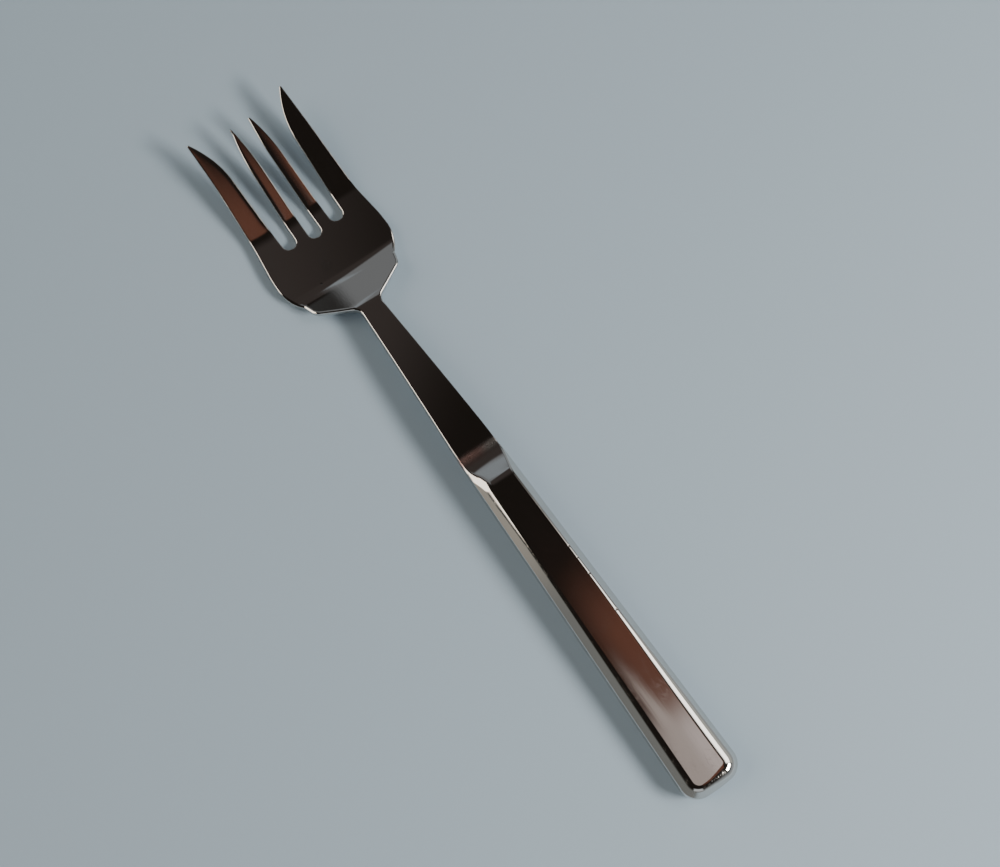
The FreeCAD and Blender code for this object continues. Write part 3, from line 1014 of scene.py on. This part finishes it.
@dataclass(frozen=True)
class Glow:
    """A patch of light or colour in the room above the fork.

    The room is drawn on a level plane one unit above the fork, at p = x/z and
    q = y/z for the direction (x, y, z). A patch is what lies inside all of its
    lines, and on the inner side of the line (a, b, c) is a p + b q + c > 0.
    """

    colour: str
    lines: tuple[Triple, ...]
    soft: float
    level: float = 1.0


@dataclass(frozen=True)
class Lamp:
    """A soft lamp, seen from the fork in some direction."""

    name: str
    towards: Triple
    distance: float
    size: Pair
    power: float
    colour: str

    def build(self) -> None:
        """Add the lamp, turned to the fork."""
        data = bpy.data.lights.new(self.name, "AREA")
        data.shape = "RECTANGLE"
        data.size, data.size_y = self.size
        data.energy = self.power
        data.color = linear(self.colour)[:3]
        lamp = bpy.data.objects.new(self.name, data)
        bpy.context.scene.collection.objects.link(lamp)
        direction = Vector(self.towards).normalized()
        lamp.location = direction * self.distance
        lamp.rotation_mode = "QUATERNION"
        lamp.rotation_quaternion = direction.to_track_quat("Z", "Y")


def box_lines(azimuth: Pair, elevation: Pair) -> tuple:
    """Lines round the directions between two azimuths and two elevations.

    Args:
        azimuth: first and last, in degrees from +X towards +Y.
        elevation: lowest and highest, in degrees above the table.

    Returns:
        The four lines, for a Glow.
    """
    first, last = (math.radians(a) for a in azimuth)
    low, high = (math.radians(e) for e in elevation)
    middle = (first + last) / 2
    p, q = math.cos(middle), math.sin(middle)
    near = math.cos((last - first) / 2) / math.tan(high)
    far = 1 / math.tan(low)
    return (
        (-math.sin(first), math.cos(first), 0.0),
        (math.sin(last), -math.cos(last), 0.0),
        (p, q, -near),
        (-p, -q, far),
    )


@dataclass
class Studio:
    """The plain floor, the soft lights and the room that the metal reflects."""

    floor_colour: str = "#9DAEBC"
    floor_reach: float = 3.0
    ceiling: str = "#231F1C"
    cool_walls: str = "#B4BCC0"
    warm_walls: str = "#858785"
    glows: tuple[Glow, ...] = (
        # The dark warm grey on the bowl's flat and on the front of the shank.
        Glow("#443E3C", ((1, -0.5, -0.42), (-1, 0, 1.3), (0, 1, 0.9)), 0.15),
        # The brown that fills the tines and the middle of the handle.
        Glow("#714B3E", ((-1.9, 0, 0.08), (1, 0, 0.5), (0, 1.7, 0.60), (0, -1, -0.172)), 0.05),
        # The three pale pinks that meet on the handle towards the butt.
        Glow("#C2B6B1", ((-2.14, 0, -0.073), (1, 0, 0.14), (0, 1, 0.30), (0, -1, -0.12)), 0.03),
        Glow("#C2B6B1", (
            (-2.14, 2.68, 0.475), (-2.14, 0, 0.009), (1, 0, 0.14), (0, 1, 0.30), (0, -3, -0.52)), 0.03),
        Glow("#DFD3D0", ((-2, 0, -0.084), (1, 0, 0.14), (0, 1, 0.30), (0, -2, -0.424)), 0.03),
        # The grey patch on the step behind the bowl.
        Glow("#818487", ((1, 1.1, -0.49), (0.28, 1.8, 0.318), (0, -1, 0.1)), 0.06),
        # The pale blue-grey ramp in front of the handle.
        Glow("#979FA6", ((1, 1.1, -0.49), (-0.5, 0, 0.63), (0, -3, -0.80), (0, 3, 0.975)), 0.06),
        # The pale right slopes near the ramp.
        Glow("#9AA1A5", box_lines((292, 329), (1.5, 50)), 0.06),
        # The soft grey of the handle's left slope.
        Glow("#B3AEA4", box_lines((20, 83.5), (1.5, 10)), 0.25),
        # The white line down the left of the ramp and the crease behind it.
        Glow("#FFF6E8", box_lines((25, 79), (9.5, 50)), 0.02, 3.2),
        # The light rim round the lower left of the bowl.
        Glow("#E8EEF2", box_lines((130, 178), (14, 42)), 0.15, 0.8),
        # The highlight along the handle's right: a pale band with a white line in it.
        Glow("#C6C7C1", (
            (0.866, -0.5, 0), (-1, -0.2, -0.02), (-1, 0, 0.1), (0, -1, -0.52), (0, 1, 4.0)), 0.035),
        Glow("#FFFDF8", (
            (0.866, -0.5, 0), (-1, -0.2, -0.02), (-1, 0, 0.1), (0, -1, -0.62), (0, 1, 1.5)), 0.12, 4.0),
    )
    lamps: tuple[Lamp, ...] = (
        Lamp("window", (-1.3, -0.95, 1.0), 0.9, (0.347, 0.166), 10.0, "#FFFBF4"),
    )

    def build(self) -> None:
        """Make the floor, lamps and world."""
        self.floor()
        for lamp in self.lamps:
            lamp.build()
        self.world()

    def floor(self) -> None:
        """A plain floor under the fork."""
        a = self.floor_reach
        mesh = bpy.data.meshes.new("floor")
        mesh.from_pydata([(-a, -a, 0), (a, -a, 0), (a, a, 0), (-a, a, 0)], [], [(0, 1, 2, 3)])
        floor = bpy.data.objects.new("floor", mesh)
        bpy.context.scene.collection.objects.link(floor)
        # Matt and pale, it shows the soft shadow and lights the fork's edges from below.
        material = bpy.data.materials.new("matt_floor")
        material.use_nodes = True
        shader = material.node_tree.nodes["Principled BSDF"]
        shader.inputs["Base Color"].default_value = linear(self.floor_colour)
        shader.inputs["Roughness"].default_value = 0.9
        shader.inputs["Specular IOR Level"].default_value = 0.1
        mesh.materials.append(material)

    def world(self) -> None:
        """The room: pale near the table, dark overhead, with its patches."""
        world = bpy.data.worlds.new("room")
        bpy.context.scene.world = world
        world.use_nodes = True
        tree = world.node_tree
        direction = add_node(tree, "ShaderNodeTexCoord").outputs["Generated"]
        parts = add_node(tree, "ShaderNodeSeparateXYZ", Vector=direction).outputs
        rise = calculate(tree, "MAXIMUM", parts["Z"], 0.02)
        p = calculate(tree, "DIVIDE", parts["X"], rise)
        q = calculate(tree, "DIVIDE", parts["Y"], rise)
        low = smooth(tree, parts["Z"], 0.55, 0.02)
        warm = smooth(tree, parts["Y"], -0.4, 0.8)
        walls = mix(tree, warm, linear(self.cool_walls), linear(self.warm_walls))
        colour = mix(tree, low, linear(self.ceiling), walls)
        for glow in self.glows:
            mask = None
            for a, b, c in glow.lines:
                side = calculate(tree, "MULTIPLY_ADD", q, b, calculate(tree, "MULTIPLY_ADD", p, a, c))
                inside = smooth(tree, side, -glow.soft, glow.soft)
                mask = inside if mask is None else calculate(tree, "MULTIPLY", mask, inside)
            shade = tuple(v * glow.level for v in linear(glow.colour)[:3]) + (1.0,)
            colour = mix(tree, mask, colour, shade)
        tree.links.new(colour, tree.nodes["Background"].inputs["Color"])


@dataclass
class PhotoCamera:
    """The camera, looking steeply down on the fork from above its handle's left."""

    lens: float = 68.4
    place: Triple = (-0.099872, 0.105752, 0.526556)
    right: Triple = (-0.578988, -0.812209, 0.071339)
    up: Triple = (0.795794, -0.543900, 0.266242)
    back: Triple = (-0.177447, 0.210927, 0.961261)

    def build(self) -> None:
        """Create the camera and make it the scene's."""
        data = bpy.data.cameras.new("camera")
        data.lens = self.lens
        data.sensor_width = 36.0
        data.clip_start = 0.01
        camera = bpy.data.objects.new("camera", data)
        bpy.context.scene.collection.objects.link(camera)
        turned = Matrix((self.right, self.up, self.back)).transposed()
        camera.matrix_world = Matrix.Translation(self.place) @ turned.to_4x4()
        bpy.context.scene.camera = camera


def main() -> None:
    """Build the fork, the studio and the camera."""
    logging.basicConfig(level=logging.INFO, format="%(name)s: %(message)s")
    fork = Fork().build("polished_fork")
    fork.data.materials.append(PolishedSteel().material())
    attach(fork, "root")
    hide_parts("serving_fork")
    LOG.info("polished_fork: %d faces", len(fork.data.polygons))
    Studio().build()
    PhotoCamera().build()
    LOG.info("studio and camera made")


if __name__ == "__main__":
    main()
